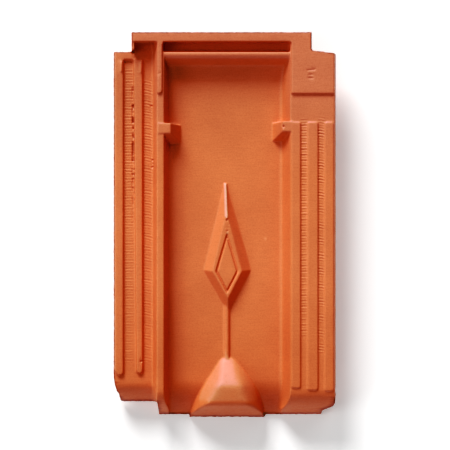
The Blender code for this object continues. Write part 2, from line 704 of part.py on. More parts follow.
def lozenge():
    """The raised lozenge, whose long facets run up from the tip to the neck of the frame."""
    x = ORNAMENT_X
    tip = HEAD - LOZENGE_TIP
    shoulder = HEAD - LOZENGE_SHOULDER
    neck = HEAD - LOZENGE_FRAME_TOP
    top = PAN_LEVEL + LOZENGE_HEIGHT
    spread = 1 + SINK / LOZENGE_HEIGHT
    ridge_x = x - RIDGE_LEAN
    neck_x = x - RIDGE_LEAN / 4
    bottom_x = x + RIDGE_LEAN / 2
    upper = [
        (neck_x - RIDGE_HALF_WIDTH, neck),
        (x - LOZENGE_FRAME_HALF, shoulder),
        (bottom_x, HEAD - LOZENGE_FRAME_BOTTOM),
        (x + LOZENGE_FRAME_HALF, shoulder),
        (neck_x + RIDGE_HALF_WIDTH, neck),
    ]
    base = [
        (ridge_x - RIDGE_HALF_WIDTH / 2, tip),
        (x - LOZENGE_BASE_HALF, shoulder + SHOULDER_DROP),
        (bottom_x, HEAD - LOZENGE_BASE_BOTTOM),
        (x + LOZENGE_BASE_HALF, shoulder + SHOULDER_DROP),
        (ridge_x + RIDGE_HALF_WIDTH / 2, tip),
    ]
    sunk = [tuple(Vector(u) + (Vector(b) - Vector(u)) * spread) for u, b in zip(upper, base)]
    return prism("lozenge", sunk, upper, PAN_LEVEL - SINK, top)


def ridge():
    """The rounded bead on the long ridge, from the tip up to the neck."""
    neck = HEAD - LOZENGE_FRAME_TOP
    tip = HEAD - LOZENGE_TIP
    full = PAN_LEVEL + LOZENGE_HEIGHT
    rings = []
    for share, reach, lift in ((0.0, 0.0, RIDGE_TIP_HEIGHT), (1.0, 0.0, RIDGE_LIFT), (1.0, RIDGE_HALF_WIDTH, 0.0)):
        y = tip + (neck - tip) * share - reach
        crest = PAN_LEVEL + (full - PAN_LEVEL) * share + lift
        x = ORNAMENT_X - RIDGE_LEAN * (1 - RIDGE_STRAIGHTEN * share)
        half = RIDGE_HALF_WIDTH * (RIDGE_TIP_SHARE + (1 - RIDGE_TIP_SHARE) * share)
        low = PAN_LEVEL - SINK / 2
        ring = [Vector((x - half, y, low)), Vector((x + half, y, low))]
        for px, pz in arc(x, crest - half, half, half, 0, 180, 6):
            ring.append(Vector((px, y, max(pz, low + LEAST_DEPTH))))
        rings.append(ring)
    return loft("ridge", rings)


def lozenge_groove():
    """The thin groove inside the frame of the lozenge."""
    x = ORNAMENT_X
    shoulder = HEAD - LOZENGE_SHOULDER
    top = HEAD - LOZENGE_FRAME_TOP - FRAME_TOP_ROOM * FRAME_WIDTH
    bottom = HEAD - LOZENGE_FRAME_BOTTOM + FRAME_BOTTOM_ROOM * FRAME_WIDTH
    outer_half = LOZENGE_FRAME_HALF - FRAME_WIDTH
    inner_half = outer_half - FRAME_GROOVE_WIDTH
    lengthen = FRAME_GROOVE_WIDTH * FRAME_POINT_STRETCH
    outer = kite(x, top, shoulder, bottom, outer_half)
    inner = kite(x, top - FRAME_POINT_STRETCH * lengthen, shoulder, bottom + lengthen, inner_half)
    floor = PAN_LEVEL + LOZENGE_HEIGHT - FRAME_GROOVE_DEPTH
    roof = PAN_LEVEL + LOZENGE_HEIGHT + OVERRUN
    bm = bmesh.new()
    rows = []
    for outline, z in ((outer, floor), (outer, roof), (inner, roof), (inner, floor)):
        rows.append([bm.verts.new((px, py, z)) for px, py in outline])
    for k in range(4):
        near = rows[k]
        far = rows[(k + 1) % 4]
        for i in range(4):
            j = (i + 1) % 4
            bm.faces.new((near[i], near[j], far[j], far[i]))
    return object_from("lozenge_groove", bm)


def stem():
    """The low rib from the lozenge down to the nose, steeper on its right side."""
    x = ORNAMENT_X
    head_y = HEAD - LOZENGE_FRAME_BOTTOM
    foot_y = NOSE_FRONT + NOSE_LENGTH - 2 * SINK
    low = PAN_LEVEL - SINK
    crest = PAN_LEVEL + STEM_HEIGHT
    spread = 1 + SINK / STEM_HEIGHT
    left_crest = x - 0.25 * STEM_HALF_WIDTH
    right_crest = x + 0.3 * STEM_HALF_WIDTH
    rings = []
    for y in (foot_y, head_y):
        rings.append([
            Vector((left_crest - 0.65 * STEM_HALF_WIDTH * spread, y, low)),
            Vector((right_crest + 0.35 * STEM_HALF_WIDTH * spread, y, low)),
            Vector((right_crest, y, crest)),
            Vector((left_crest, y, crest)),
        ])
    return loft("stem", rings)


def nose_crest(y):
    """Height of the nose's middle facet."""
    tip = NOSE_FRONT + NOSE_LENGTH
    crest_y = NOSE_FRONT + NOSE_CREST
    brow_y = NOSE_FRONT + NOSE_BROW
    top = PAN_LEVEL + NOSE_HEIGHT
    if y >= crest_y:
        share = (tip - y) / (tip - crest_y)
        rounded = NOSE_CREST_ROUND * math.sin(math.pi / 2 * share)
        return PAN_LEVEL + NOSE_HEIGHT * ((1 - NOSE_CREST_ROUND) * share + rounded)
    if y >= brow_y:
        return top - NOSE_BROW_FALL * ((crest_y - y) / (crest_y - brow_y)) ** NOSE_BROW_POWER
    share = (brow_y - y) / (brow_y - NOSE_FRONT)
    brow = top - NOSE_BROW_FALL
    return brow - (brow - LIP_EDGE) * ((1 - NOSE_FRONT_ROUND) * share + NOSE_FRONT_ROUND * share ** 2)


def nose_facet_half(y):
    """Half the width of the middle facet, which opens out to the whole front."""
    tip = NOSE_FRONT + NOSE_LENGTH
    brow_y = NOSE_FRONT + NOSE_BROW
    if y >= brow_y:
        share = max(0.0, (tip - y) / (tip - brow_y))
        return NOSE_TIP_HALF + (NOSE_FACET_HALF - NOSE_TIP_HALF) * share ** NOSE_FACET_POWER
    share = (brow_y - y) / (brow_y - NOSE_FRONT)
    return NOSE_FACET_HALF + (NOSE_FRONT_HALF - NOSE_FACET_HALF) * math.sin(math.pi / 2 * share)


def nose_base_half(y):
    """Half the width of the nose where it meets the pan."""
    tip = NOSE_FRONT + NOSE_LENGTH
    share = min(1.0, max(0.0, (tip - y) / NOSE_LENGTH))
    start = NOSE_TIP_HALF + NOSE_FLANK_MIN
    return start + (NOSE_BASE_HALF - start) * (1 - (1 - share) ** NOSE_BASE_POWER)


def nose_skew(y):
    """How far the middle of the nose bows towards the cover."""
    share = max(0.0, (y - NOSE_FRONT) / NOSE_LENGTH)
    return NOSE_SKEW * math.sin(math.pi * min(1.0, share) ** NOSE_SKEW_POWER)


def nose():
    """The flared nose at the middle of the foot."""
    rings = []
    reach = NOSE_LENGTH + SINK
    for i in range(NOSE_RINGS + 1):
        y = NOSE_FRONT + reach * (i / NOSE_RINGS) ** NOSE_RING_POWER
        ground = pan_floor(max(y, FOOT))
        bottom = pan_underside(max(y, FOOT)) + NOSE_LIFT
        x = ORNAMENT_X + nose_skew(y)
        crest = nose_crest(y)
        facet = nose_facet_half(y)
        base = max(nose_base_half(y), facet + NOSE_FLANK_MIN)
        sunk = min(SINK, 0.6 * (ground - bottom))
        splay = (base - facet) * sunk / max(crest - ground, SINK)
        flank = []
        for k in range(NOSE_FLANK_STRIPS + 1):
            share = k / NOSE_FLANK_STRIPS
            half = facet + (base + splay - facet) * (1 - share)
            flank.append((half, crest + (ground - sunk - crest) * (1 - share) ** NOSE_FLANK_POWER))
        ring = [Vector((x - base - splay, y, bottom)), Vector((x + base + splay, y, bottom))]
        ring += [Vector((x + half, y, z)) for half, z in flank]
        ring += [Vector((x - half, y, z)) for half, z in reversed(flank)]
        rings.append(ring)
    return loft("nose", rings)


def nose_pocket():
    """The hollow under the nose, which keeps its wall as thin as the pan's."""
    front = NOSE_FRONT + NOSE_BROW + NOSE_WALL / 2
    roof = PAN_LEVEL + NOSE_HEIGHT - POCKET_ROOF
    bottom = box_outline(ORNAMENT_X - POCKET_HALF_WIDTH, ORNAMENT_X + POCKET_HALF_WIDTH,
                         front - POCKET_DRAFT / 2, NOSE_FRONT + POCKET_BACK)
    top = box_outline(ORNAMENT_X - POCKET_TOP_HALF_WIDTH, ORNAMENT_X + POCKET_TOP_HALF_WIDTH,
                      front + POCKET_DRAFT / 2, NOSE_FRONT + POCKET_TOP_BACK)
    return prism("nose_pocket", bottom, top, -OVERRUN, roof)


def lugs():
    """The two lugs that hook over the batten, with upright faces towards the foot."""
    made = []
    for side in (-1, 1):
        middle = side * LUG_SPACING / 2
        top = PAN_UNDERSIDE + SINK
        upper = box_outline(middle - LUG_WIDTH / 2, middle + LUG_WIDTH / 2, LUG_FACE_Y, LUG_FACE_Y + LUG_LENGTH)
        lower = box_outline(middle - LUG_WIDTH / 2 + LUG_DRAFT, middle + LUG_WIDTH / 2 - LUG_DRAFT,
                            LUG_FACE_Y, LUG_FACE_Y + LUG_LENGTH - LUG_DRAFT)
        made.append(prism("lug", lower, upper, 0.0, top))
    return made


def lock_ribs():
    """Ribs under the cover that drop into the next tile's two channels."""
    made = []
    outer_channel = LEFT + OUTER_RIB_WIDTH + OUTER_CHANNEL_WIDTH / 2
    inner_rib_right = LEFT + OUTER_RIB_WIDTH + OUTER_CHANNEL_WIDTH + INNER_RIB_WIDTH
    inner_channel = (inner_rib_right + CHANNEL_RIGHT) / 2
    foot = FOOT + COVER_ROLL
    head = HEAD - RIGHT_NOTCH_DEPTH - RIGHT_NOTCH_FALL - OVERRUN
    for channel in (outer_channel, inner_channel):
        middle = channel + TILE_WIDTH - SIDE_LAP
        half = LOCK_RIB_WIDTH / 2
        low_half = half - LOCK_RIB_DRAFT
        lower = box_outline(middle - low_half, middle + low_half, foot + LOCK_RIB_DRAFT, head - LOCK_RIB_DRAFT)
        upper = box_outline(middle - half, middle + half, foot, head)
        bottom = COVER_UNDERSIDE - LOCK_RIB_DEPTH
        made.append(prism("lock_rib", lower, upper, bottom, COVER_UNDERSIDE + SINK / 2))
    return made


def clay():
    """Unglazed orange terracotta."""
    material = bpy.data.materials.new("terracotta")
    material.use_nodes = True
    shader = material.node_tree.nodes["Principled BSDF"]
    shader.inputs["Base Color"].default_value = CLAY_COLOUR
    shader.inputs["Roughness"].default_value = CLAY_ROUGHNESS
    shader.inputs["Metallic"].default_value = 0.0
    return material


def build_tile():
    tile = slab()
    combine(tile, raised_head(), "UNION")
    combine(tile, pan_space(), "DIFFERENCE")
    combine(tile, channel_space(), "DIFFERENCE")
    combine(tile, head_groove(), "DIFFERENCE")
    combine(tile, channel_ribs(), "UNION")
    combine(tile, corner_slope(), "UNION")
    combine(tile, recess_rim(), "UNION")
    outline = plan_outline()
    combine(tile, prism("plan", outline, outline, -OVERRUN, HEAD_LEVEL + OVERRUN), "INTERSECT")
    for rib in flat_ribs():
        combine(tile, rib, "UNION")
    combine(tile, cover_edge_bevel(), "DIFFERENCE")
    for side in (-1, 1):
        combine(tile, hook(side), "UNION")
    combine(tile, nose(), "UNION")
    combine(tile, lozenge(), "UNION")
    combine(tile, ridge(), "UNION")
    combine(tile, lozenge_groove(), "DIFFERENCE")
    combine(tile, stem(), "UNION")
    combine(tile, nose_pocket(), "DIFFERENCE")
    for lug in lugs():
        combine(tile, lug, "UNION")
    for rib in lock_ribs():
        combine(tile, rib, "UNION")
    tile.data.materials.clear()
    tile.data.materials.append(clay())
    tile.data.shade_smooth()
    tile.data.set_sharp_from_angle(angle=math.radians(30))


def clear_scene():
    for leftover in list(bpy.data.objects):
        bpy.data.objects.remove(leftover)


clear_scene()
build_tile()
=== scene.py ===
"""Dresses the clay roof tile in a fine mesh and a terracotta surface.

The mesh has soft pressed edges, press ripples, torn marks, pits, burrs and a broken edge. Painted
shade darkens the outer edge and the torn marks, and paler painted highlights stand on the crests.
Lengths in the tables are millimetres from the part's origin, unless they say otherwise.
"""

import math

import bpy
import numpy as np
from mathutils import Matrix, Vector


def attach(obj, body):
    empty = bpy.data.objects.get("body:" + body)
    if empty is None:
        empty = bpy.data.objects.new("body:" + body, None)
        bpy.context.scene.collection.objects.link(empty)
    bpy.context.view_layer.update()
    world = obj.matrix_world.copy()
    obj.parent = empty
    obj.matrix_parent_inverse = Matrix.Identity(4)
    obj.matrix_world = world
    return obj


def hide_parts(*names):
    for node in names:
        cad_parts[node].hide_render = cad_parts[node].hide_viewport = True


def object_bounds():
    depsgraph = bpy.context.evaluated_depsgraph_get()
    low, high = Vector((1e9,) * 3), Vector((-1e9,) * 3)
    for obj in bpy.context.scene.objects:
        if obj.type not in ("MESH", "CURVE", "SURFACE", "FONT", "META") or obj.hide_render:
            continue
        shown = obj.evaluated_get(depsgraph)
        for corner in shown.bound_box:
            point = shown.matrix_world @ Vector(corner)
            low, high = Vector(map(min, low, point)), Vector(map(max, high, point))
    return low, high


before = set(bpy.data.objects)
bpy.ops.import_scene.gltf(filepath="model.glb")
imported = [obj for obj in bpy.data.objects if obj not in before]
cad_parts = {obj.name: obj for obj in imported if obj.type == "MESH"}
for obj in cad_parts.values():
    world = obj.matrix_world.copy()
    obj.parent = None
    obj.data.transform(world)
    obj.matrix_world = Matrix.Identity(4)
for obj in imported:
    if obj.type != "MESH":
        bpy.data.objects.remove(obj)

cad_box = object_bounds()

MM = 0.001

# Mesh of the dressed tile
VOXEL = 0.65 * MM
TRIANGLES = 185000
SMOOTH_ROUNDS = 9
SMOOTH_IN = 0.55
SMOOTH_BACK = 0.35

# Value noise: what mixes a cell's place and the seed into one number
CELL_FACTORS = (73856093, 19349663, 83492791)
SEED_FACTOR = 2654435761
MIX_FACTOR = 1274126177
MIX_SHIFTS = (13, 16)
NOISE_MASK = 0xFFFF

# Unevenness of the whole surface: height, cell size and seed of each layer of noise
SURFACE_SWELL = ((0.10, 38.0, 1), (0.04, 11.0, 2), (0.012, 2.6, 3))

# The nose is rounded further: x0, x1, y0, y1 and the level above which that starts
NOSE_BOX = (-42.0, 48.0, -199.0, -128.0, 25.4)
NOSE_ROUNDS = 110
NOSE_SIDE_SOFT = 2.0
NOSE_END_SOFT = 5.0
NOSE_RISE = 2.0

# A strip of one level: how softly it ends, and how far it reaches below and above the level
STRIP_SIDE_SOFT = 0.6
STRIP_END_SOFT = 9.0
STRIP_LEVEL_SOFT = 0.5
STRIP_BELOW = 1.2
STRIP_ABOVE = 2.2

# Press ripples: x0, x1, y0, y1, level, strength at the foot and at the head, bow, pitch
FINE_PITCH = 2.8
FINE_SHARE = 1.15
COARSE_SHARE = 0.6
COARSE_WOBBLE = 2.5
FINE_WOBBLE = 1.5
RIPPLE_HEIGHT = 0.13
RIPPLE_EVEN = 0.85
RIPPLE_PATCHES = ((0.3, 12.0, 13),)
RIPPLE_WOBBLE = ((1.1, 9.0, 11), (0.8, 3.0, 12))
RIPPLED_FROM = 0.05
RIPPLE_STRIPS = (
    (-105.2, -95.0, -140.0, 159.0, 30.0, 0.55, 1.15, 0.0, 4.0),
    (-84.9, -75.0, -140.0, 147.0, 30.0, 0.65, 1.3, 0.02, 3.7),
    (79.0, 85.3, -112.0, 106.0, 44.0, 1.2, 1.6, 0.0, 5.2),
    (97.0, 103.3, -130.0, 106.0, 44.0, 1.4, 1.8, 0.03, 3.4),
)

# Torn marks along the edge of the outer channel: x0, x1, y0, y1, level
TORN_STRIP = (-95.9, -93.0, 4.0, 150.0, 30.0)
TORN_DEPTH = 1.3
# How dark the torn marks are painted, as painted shade in them
TORN_PAINTED_SHADE = 0.8
TORN_STRETCH = (0.6, 0.42, 0.3)
TORN_FLAKES = (1.0, 31)
TORN_CONTRAST = 1.5
TORN_FILL = 0.45
TORN_INSET = 0.8
TORN_WAVE = ((0.7, 2.6, 32),)
TORN_SIDE_SOFT = 0.7
TORN_END_SOFT = 8.0
TORN_BELOW = 2.0
TORN_ABOVE = 1.4
TORN_LEAST = 0.15
TORN_REST = 0.85
TORN_POWER = 0.8

# Pits and notches: x, y, z, radius, depth
PITS = (
    (60.8, 102.0, 45.2, 1.5, 1.5),
    (-86.4, -141.3, 33.4, 1.5, 1.4),
    (-75.9, 123.2, 30.2, 1.5, 1.1),
    (-74.6, 60.0, 30.4, 1.5, 1.1),
    (-74.2, 63.5, 30.6, 1.2, 0.9),
    (-74.8, 67.0, 30.4, 1.3, 1.0),
    (2.2, 5.0, 32.5, 1.1, 0.9),
    (2.8, -6.0, 32.5, 1.1, 0.9),
    (0.6, 7.2, 32.5, 0.8, 0.5),
    (-64.0, -177.0, 39.0, 1.6, 0.5),
    (-62.5, -179.5, 37.0, 1.1, 0.4),
)
PIT_ROUGHNESS = ((0.35, 1.4, 21),)

# Burrs left by the press along two ribs: x, y, z, half length, radius, height
BURRS = (
    (-107.2, 164.0, 33.0, 4.6, 1.3, 1.5),
    (-86.8, 163.6, 33.0, 4.6, 1.3, 1.5),
    (-93.5, 153.0, 31.5, 2.0, 0.8, 0.4),
)

# Shallow strokes on the pad: x0, y0, x1, y1
STROKES = (
    (86.2, 160.2, 93.4, 161.0),
    (87.6, 155.8, 90.6, 155.7),
    (86.8, 152.0, 91.2, 152.0),
)
STROKE_HALF = 1.0
STROKE_DEPTH = 0.55

# Strokes and cracks cut only clay whose normal points up by more than this
CUT_FACES_UP = 0.3

# A crack across the strip of the rail: x0, y0, x1, y1
CRACKS = ((-70.0, 156.4, -66.3, 156.9),)
CRACK_HALF = 0.6
CRACK_DEPTH = 0.35

# Torn clay on the neck of the lozenge: x0, x1, y0, y1, level
NECK = (0.2, 4.6, -4.2, 4.2, 32.5)
NECK_ROUGHNESS = 0.3
NECK_INSET = 4.0
NECK_NOISE = (1.3, 22)

# The outer edge: faces as upright as this, with nothing of the tile just beyond them
UPRIGHT = 0.08
BEYOND = 2 * MM
RAY_HEIGHT = 1.0

# Wear along the outer edge; painted shade darkens the clay that faces up along the outer edge and
# along the foot
RIM_REACH = 2.2
RIM_WEAR = 0.3
RIM_ROUGHNESS = ((1.2, 2.0, 5),)
RIM_FACES_UP = 0.08
RIM_UP_SOFT = 0.15
RIM_PAINTED_SHADE = 1.45
FOOT_REACH = 3.8
FOOT_PAINTED_SHADE = 1.5
FOOT_EDGE = -178.0

# Painted highlights, lines of paler colour where sheen falls: x0, y0, x1, y1, half width, strength
HIGHLIGHT_LEVEL = 24.6
HIGHLIGHT_FACES_UP = 0.2
HIGHLIGHT_CORE = 1.4
HIGHLIGHT_SOFT = 2.5
HIGHLIGHT_EVEN = 0.9
HIGHLIGHT_PATCHES = ((0.3, 2.0, 41),)
HIGHLIGHT_LINES = (
    (0.5, 42.0, 1.6, 9.0, 2.5, 0.68),
    (0.4, 43.2, 0.5, 40.5, 1.6, 1.0),
    (2.6, -8.2, 2.6, -9.0, 1.3, 0.3),
    (-1.0, -139.0, -2.1, -156.2, 1.6, 0.24),
    (-2.1, -156.2, -7.8, -171.8, 1.6, 0.22),
    (-7.8, -171.8, -16.5, -182.6, 1.6, 0.2),
)

# Painted highlight and sheen on the nose, its brow and its left flank
NOSE_HIGHLIGHT = 0.12
HIGHLIGHT_SPAN = (-181.0, -137.5)
BROW_SPAN = (-152.0, -140.0)
BROW_SIDES = (-4.0, 8.0)
BROW_END_SOFT = 18.0
BROW_HIGHLIGHT = 0.08
LEFT_HIGHLIGHT = 0.06
LEFT_FADE = 6.0

# Colours: the clay, a little darker on the pan near the head, darker and bluer on the high parts of
# the head, and darker towards the foot
BODY_TINT = (0.660, 0.178, 0.093)
PAN_HEAD_TINT = (0.590, 0.164, 0.088)
HEAD_TINT = (0.595, 0.172, 0.106)
FOOT_TINT = (0.592, 0.153, 0.074)
# A paler colour painted as highlight and sheen
PAINTED_HIGHLIGHT_TINT = (0.80, 0.45, 0.32)
# A dark colour painted as shade along the outer edge and in the torn marks
PAINTED_SHADE_TINT = (0.16, 0.02, 0.006)

# Where one colour fades into the next: along the tile and in height, in metres
PAN_HEAD_FADE = (0.07, 0.13)
HEAD_FADE = (0.05, 0.15)
HEAD_LEVELS = (0.030, 0.043)
FOOT_FADE = (-0.05, -0.15)

# Grain of the clay: scales of the noise per metre, and stops of place and colour
NOISE_DETAIL = 3
MOTTLE_SCALE = 26
MOTTLE_STOPS = (0.3, 0.7)
MOTTLE_TONES = (0.95, 1.05)
SPECK_SCALE = 700
SPECK_ROUGHNESS = 0.65
SPECK_SHARE = 0.8
SPECKS = ((0.32, (0.90, 0.86, 0.84)), (0.5, (1, 1, 1)), (0.72, (1.05, 1.07, 1.08)))
STREAK_SCALES = (90, 900, 90)
STREAK_SHARE = 0.7
STREAKS = ((0.3, (0.95,) * 3), (0.7, (1.05,) * 3))
# Patches in the painted shade along the outer edge
PATCH_SCALE = 160
PAINTED_SHADE_PATCHES = ((0.3, (0.55,) * 3), (0.65, (1.0,) * 3))
ROUGH_SCALE = 300
ROUGH_STOPS = ((0.3, (0.50,) * 3), (0.7, (0.62,) * 3))

# Bumps: scale and roughness of the noise, strength, distance
FINE_BUMP = (1400, 0.6, 0.2, 0.1 * MM)
BROAD_BUMP = (420, 0.55, 0.25, 0.15 * MM)

# Camera: the photo's scale, straight above the tile
PIXEL = 1.0379 * MM
IMAGE = 450
CAMERA_HEIGHT = 9.0
CAMERA_SIDE = 0.25 * PIXEL
CAMERA_CLIP = 50
SENSOR = 36.0
AIM_LEVEL = 25 * MM

# Lamps: name, azimuth from the head towards the left, elevation, strength, spread; angles in degrees
LAMPS = (
    ("key", 20, 29, 3.8, 26),
    ("left_fill", 100, 32, 0.75, 30),
    ("foot_fill", 180, 26, 0.66, 40),
    ("right_fill", -35, 28, 0.6, 40),
    ("top_fill", 60, 70, 0.26, 40),
)
LAMP_DISTANCE = 2
WORLD_STRENGTH = 0.05

# Floor
FLOOR_SIZE = 12
FLOOR_TINT = (0.95, 0.95, 0.95, 1)
FLOOR_ROUGHNESS = 0.9
FLOOR_GLOW = 0.2
WHITE = (1, 1, 1, 1)

# Tone curves for red, green and blue: dark tones lose green and blue
UPPER_TONE = ((0.1517, 0.0953), (0.1906, 0.159), (0.2397, 0.239), (0.5, 0.5))
TONES = (
    UPPER_TONE,
    ((0.03, 0.004), (0.05, 0.0105), (0.0664, 0.0165), (0.082, 0.0245), (0.0989, 0.0370)) + UPPER_TONE,
    ((0.03, 0.0015), (0.048, 0.0040), (0.066, 0.0125), (0.0989, 0.0356)) + UPPER_TONE,
)


def eased(share):
    """A share from 0 to 1 with a soft start and end."""
    return share * share * (3 - 2 * share)


def lattice(points, size, seed):
    """Smooth value noise from -1 to 1 at points, with cells of a size in the points' own unit."""
    scaled = points / size
    cell = np.floor(scaled).astype(np.int64)
    part = eased(scaled - cell)
    total = np.zeros(len(points))
    for dx in (0, 1):
        for dy in (0, 1):
            for dz in (0, 1):
                x = (cell[:, 0] + dx) * CELL_FACTORS[0]
                y = (cell[:, 1] + dy) * CELL_FACTORS[1]
                z = (cell[:, 2] + dz) * CELL_FACTORS[2]
                mixed = x ^ y ^ z ^ (seed * SEED_FACTOR)
                mixed = (mixed ^ (mixed >> MIX_SHIFTS[0])) * MIX_FACTOR
                mixed = (mixed ^ (mixed >> MIX_SHIFTS[1])) & NOISE_MASK
                weight = np.abs(1 - dx - part[:, 0])
                weight = weight * np.abs(1 - dy - part[:, 1])
                weight = weight * np.abs(1 - dz - part[:, 2])
                total += weight * (mixed / (NOISE_MASK / 2) - 1)
    return total


def layered(points, layers):
    """Sum of noises, each with its height, cell size and seed."""
    return sum(height * lattice(points, size, seed) for height, size, seed in layers)


def band(value, low, high, soft):
    """1 inside a range, falling to 0 over the soft distance outside it."""
    inside = np.minimum(value - low, high - value)
    return eased(np.clip(inside / soft + 1, 0, 1))


def segment_distance(points, x0, y0, x1, y1):
    """Distance in plan from points to a short line."""
    along = np.array([x1 - x0, y1 - y0])
    offset = points[:, :2] - np.array([x0, y0])
    share = np.clip(offset @ along / (along @ along), 0, 1)
    return np.linalg.norm(offset - share[:, None] * along, axis=1)


def read_points(mesh):
    points = np.empty(len(mesh.vertices) * 3)
    mesh.vertices.foreach_get("co", points)
    return points.reshape(-1, 3)


def write_points(mesh, points):
    mesh.vertices.foreach_set("co", points.ravel())
    mesh.update()


def read_normals(mesh):
    normals = np.empty(len(mesh.vertices) * 3)
    mesh.vertex_normals.foreach_get("vector", normals)
    return normals.reshape(-1, 3)


def neighbour_mean(points, edges):
    """Mean of each vertex's neighbours."""
    count = len(points)
    total = np.zeros_like(points)
    for axis in range(3):
        total[:, axis] += np.bincount(edges[:, 0], points[edges[:, 1], axis], count)
        total[:, axis] += np.bincount(edges[:, 1], points[edges[:, 0], axis], count)
    degree = np.bincount(edges.ravel(), minlength=count)
    return total / np.maximum(degree, 1)[:, None]


def smoothed(points, edges, rounds):
    """Rounds the edges without shrinking the whole."""
    for _ in range(rounds):
        points = points + SMOOTH_IN * (neighbour_mean(points, edges) - points)
        points = points - SMOOTH_BACK * (neighbour_mean(points, edges) - points)
    return points


def softened_nose(points, edges):
    """Rounds the crests of the nose further than the other edges."""
    x0, x1, y0, y1, level = NOSE_BOX
    mm = points / MM
    share = band(mm[:, 0], x0, x1, NOSE_SIDE_SOFT) * band(mm[:, 1], y0, y1, NOSE_END_SOFT)
    share = share * np.clip((mm[:, 2] - level) / NOSE_RISE, 0, 1)
    chosen = np.nonzero(share > 0)[0]
    place = np.full(len(points), -1)
    place[chosen] = np.arange(len(chosen))
    local = place[edges]
    local = local[(local >= 0).all(axis=1)]
    rounds = NOSE_ROUNDS
    part = smoothed(points[chosen], local, rounds)
    points[chosen] += (part - points[chosen]) * share[chosen][:, None]
    return points


def applied(obj, kind, **settings):
    """Adds one modifier and makes its result the object's mesh."""
    modifier = obj.modifiers.new(kind.title(), kind)
    for key, value in settings.items():
        setattr(modifier, key, value)
    depsgraph = bpy.context.evaluated_depsgraph_get()
    result = bpy.data.meshes.new_from_object(obj.evaluated_get(depsgraph), depsgraph=depsgraph)
    obj.modifiers.clear()
    spent = obj.data
    obj.data = result
    bpy.data.meshes.remove(spent)


def store(mesh, name, values):
    """Keeps one value for each vertex, for the material to read."""
    layer = mesh.attributes.new(name, "FLOAT", "POINT")
    layer.data.foreach_set("value", values)


def strip_mask(mm, x0, x1, y0, y1, level):
    """1 over a strip of one level of the tile, with soft ends."""
    mask = band(mm[:, 0], x0, x1, STRIP_SIDE_SOFT) * band(mm[:, 1], y0, y1, STRIP_END_SOFT)
    return mask * band(mm[:, 2], level - STRIP_BELOW, level + STRIP_ABOVE, STRIP_LEVEL_SOFT)


def press_marks(mm, up):
    """Height that the press ripples add."""
    height = np.zeros(len(mm))
    wobble = layered(mm, RIPPLE_WOBBLE)
    patchy = RIPPLE_EVEN + layered(mm, RIPPLE_PATCHES)
    for x0, x1, y0, y1, level, foot, head, bow, pitch in RIPPLE_STRIPS:
        share = np.clip((mm[:, 1] - y0) / (y1 - y0), 0, 1)
        strength = foot + (head - foot) * share
        curve = bow * (mm[:, 0] - x0) ** 2
        along = 2 * math.pi * (mm[:, 1] + curve)
        coarse = COARSE_SHARE * np.sin((along + COARSE_WOBBLE * wobble) / pitch)
        fine = FINE_SHARE * np.sin((along + FINE_WOBBLE * wobble) / FINE_PITCH)
        mask = strip_mask(mm, x0, x1, y0, y1, level)
        height += mask * strength * patchy * (coarse + fine) * RIPPLE_HEIGHT
    return height * np.clip(up, 0, 1)


def rippled(mm):
    """Whether each point lies on a strip with ripples, which keeps its full detail."""
    found = np.zeros(len(mm), dtype=bool)
    for x0, x1, y0, y1, level, *_ in RIPPLE_STRIPS:
        found |= strip_mask(mm, x0, x1, y0, y1, level) > RIPPLED_FROM
    return found


def torn_marks(mm):
    """Strength of the torn marks along the outer channel, greatest near the head."""
    x0, x1, y0, y1, level = TORN_STRIP
    stretched = mm * np.array(TORN_STRETCH)
    flakes = np.clip(lattice(stretched, *TORN_FLAKES) * TORN_CONTRAST + TORN_FILL, 0, 1)
    share = np.clip((mm[:, 1] - y0) / (y1 - y0), 0, 1)
    wave = x1 - TORN_INSET + layered(mm * np.array([0, 1, 0]), TORN_WAVE)
    edge = band(mm[:, 0], x0, wave, TORN_SIDE_SOFT) * band(mm[:, 1], y0, y1, TORN_END_SOFT)
    edge = edge * band(mm[:, 2], level - TORN_BELOW, level + TORN_ABOVE, STRIP_LEVEL_SOFT)
    return edge * flakes * (TORN_LEAST + TORN_REST * np.sin(math.pi * share ** 2) ** TORN_POWER)


def dents(mm, up):
    """Depth that torn marks, pits, strokes, cracks and the torn neck take away."""
    depth = TORN_DEPTH * torn_marks(mm)
    rough = 1 + layered(mm, PIT_ROUGHNESS)
    for x, y, z, radius, deep in PITS:
        away = np.linalg.norm(mm - np.array([x, y, z]), axis=1) / radius * rough
        depth += deep * np.clip(1 - away * away, 0, 1)
    cuts = ((STROKES, STROKE_HALF, STROKE_DEPTH), (CRACKS, CRACK_HALF, CRACK_DEPTH))
    for lines, half, deep in cuts:
        for line in lines:
            away = segment_distance(mm, *line) / half
            depth += deep * np.clip(1 - away * away, 0, 1) * (up > CUT_FACES_UP)
    x0, x1, y0, y1, level = NECK
    neck = strip_mask(mm, x0, x1, y0 + NECK_INSET, y1 - NECK_INSET, level)
    depth += NECK_ROUGHNESS * neck * lattice(mm, *NECK_NOISE)
    return depth


def burrs(mm):
    """Height of the clay squeezed up along the edges of two ribs."""
    height = np.zeros(len(mm))
    for x, y, z, half, radius, lift in BURRS:
        offset = mm - np.array([x, y, z])
        offset[:, 1] = np.maximum(np.abs(offset[:, 1]) - half, 0)
        away = np.linalg.norm(offset, axis=1) / radius
        height += lift * np.clip(1 - away * away, 0, 1)
    return height


def rim_segments(solid):
    """The outer edge of the tile in plan: its upright faces with nothing of the tile beyond them."""
    segments = []
    mesh = solid.data
    for face in mesh.polygons:
        if abs(face.normal.z) > UPRIGHT:
            continue
        beyond = face.center + face.normal * BEYOND
        above = Vector((beyond.x, beyond.y, RAY_HEIGHT))
        if solid.ray_cast(above, Vector((0, 0, -1)))[0]:
            continue
        plan = [mesh.vertices[index].co.xy / MM for index in face.vertices]
        pairs = [(p, q) for p in plan for q in plan]
        start, end = max(pairs, key=lambda pair: (pair[0] - pair[1]).length)
        segments.append((start.x, start.y, end.x, end.y))
    return sorted(set(segments))


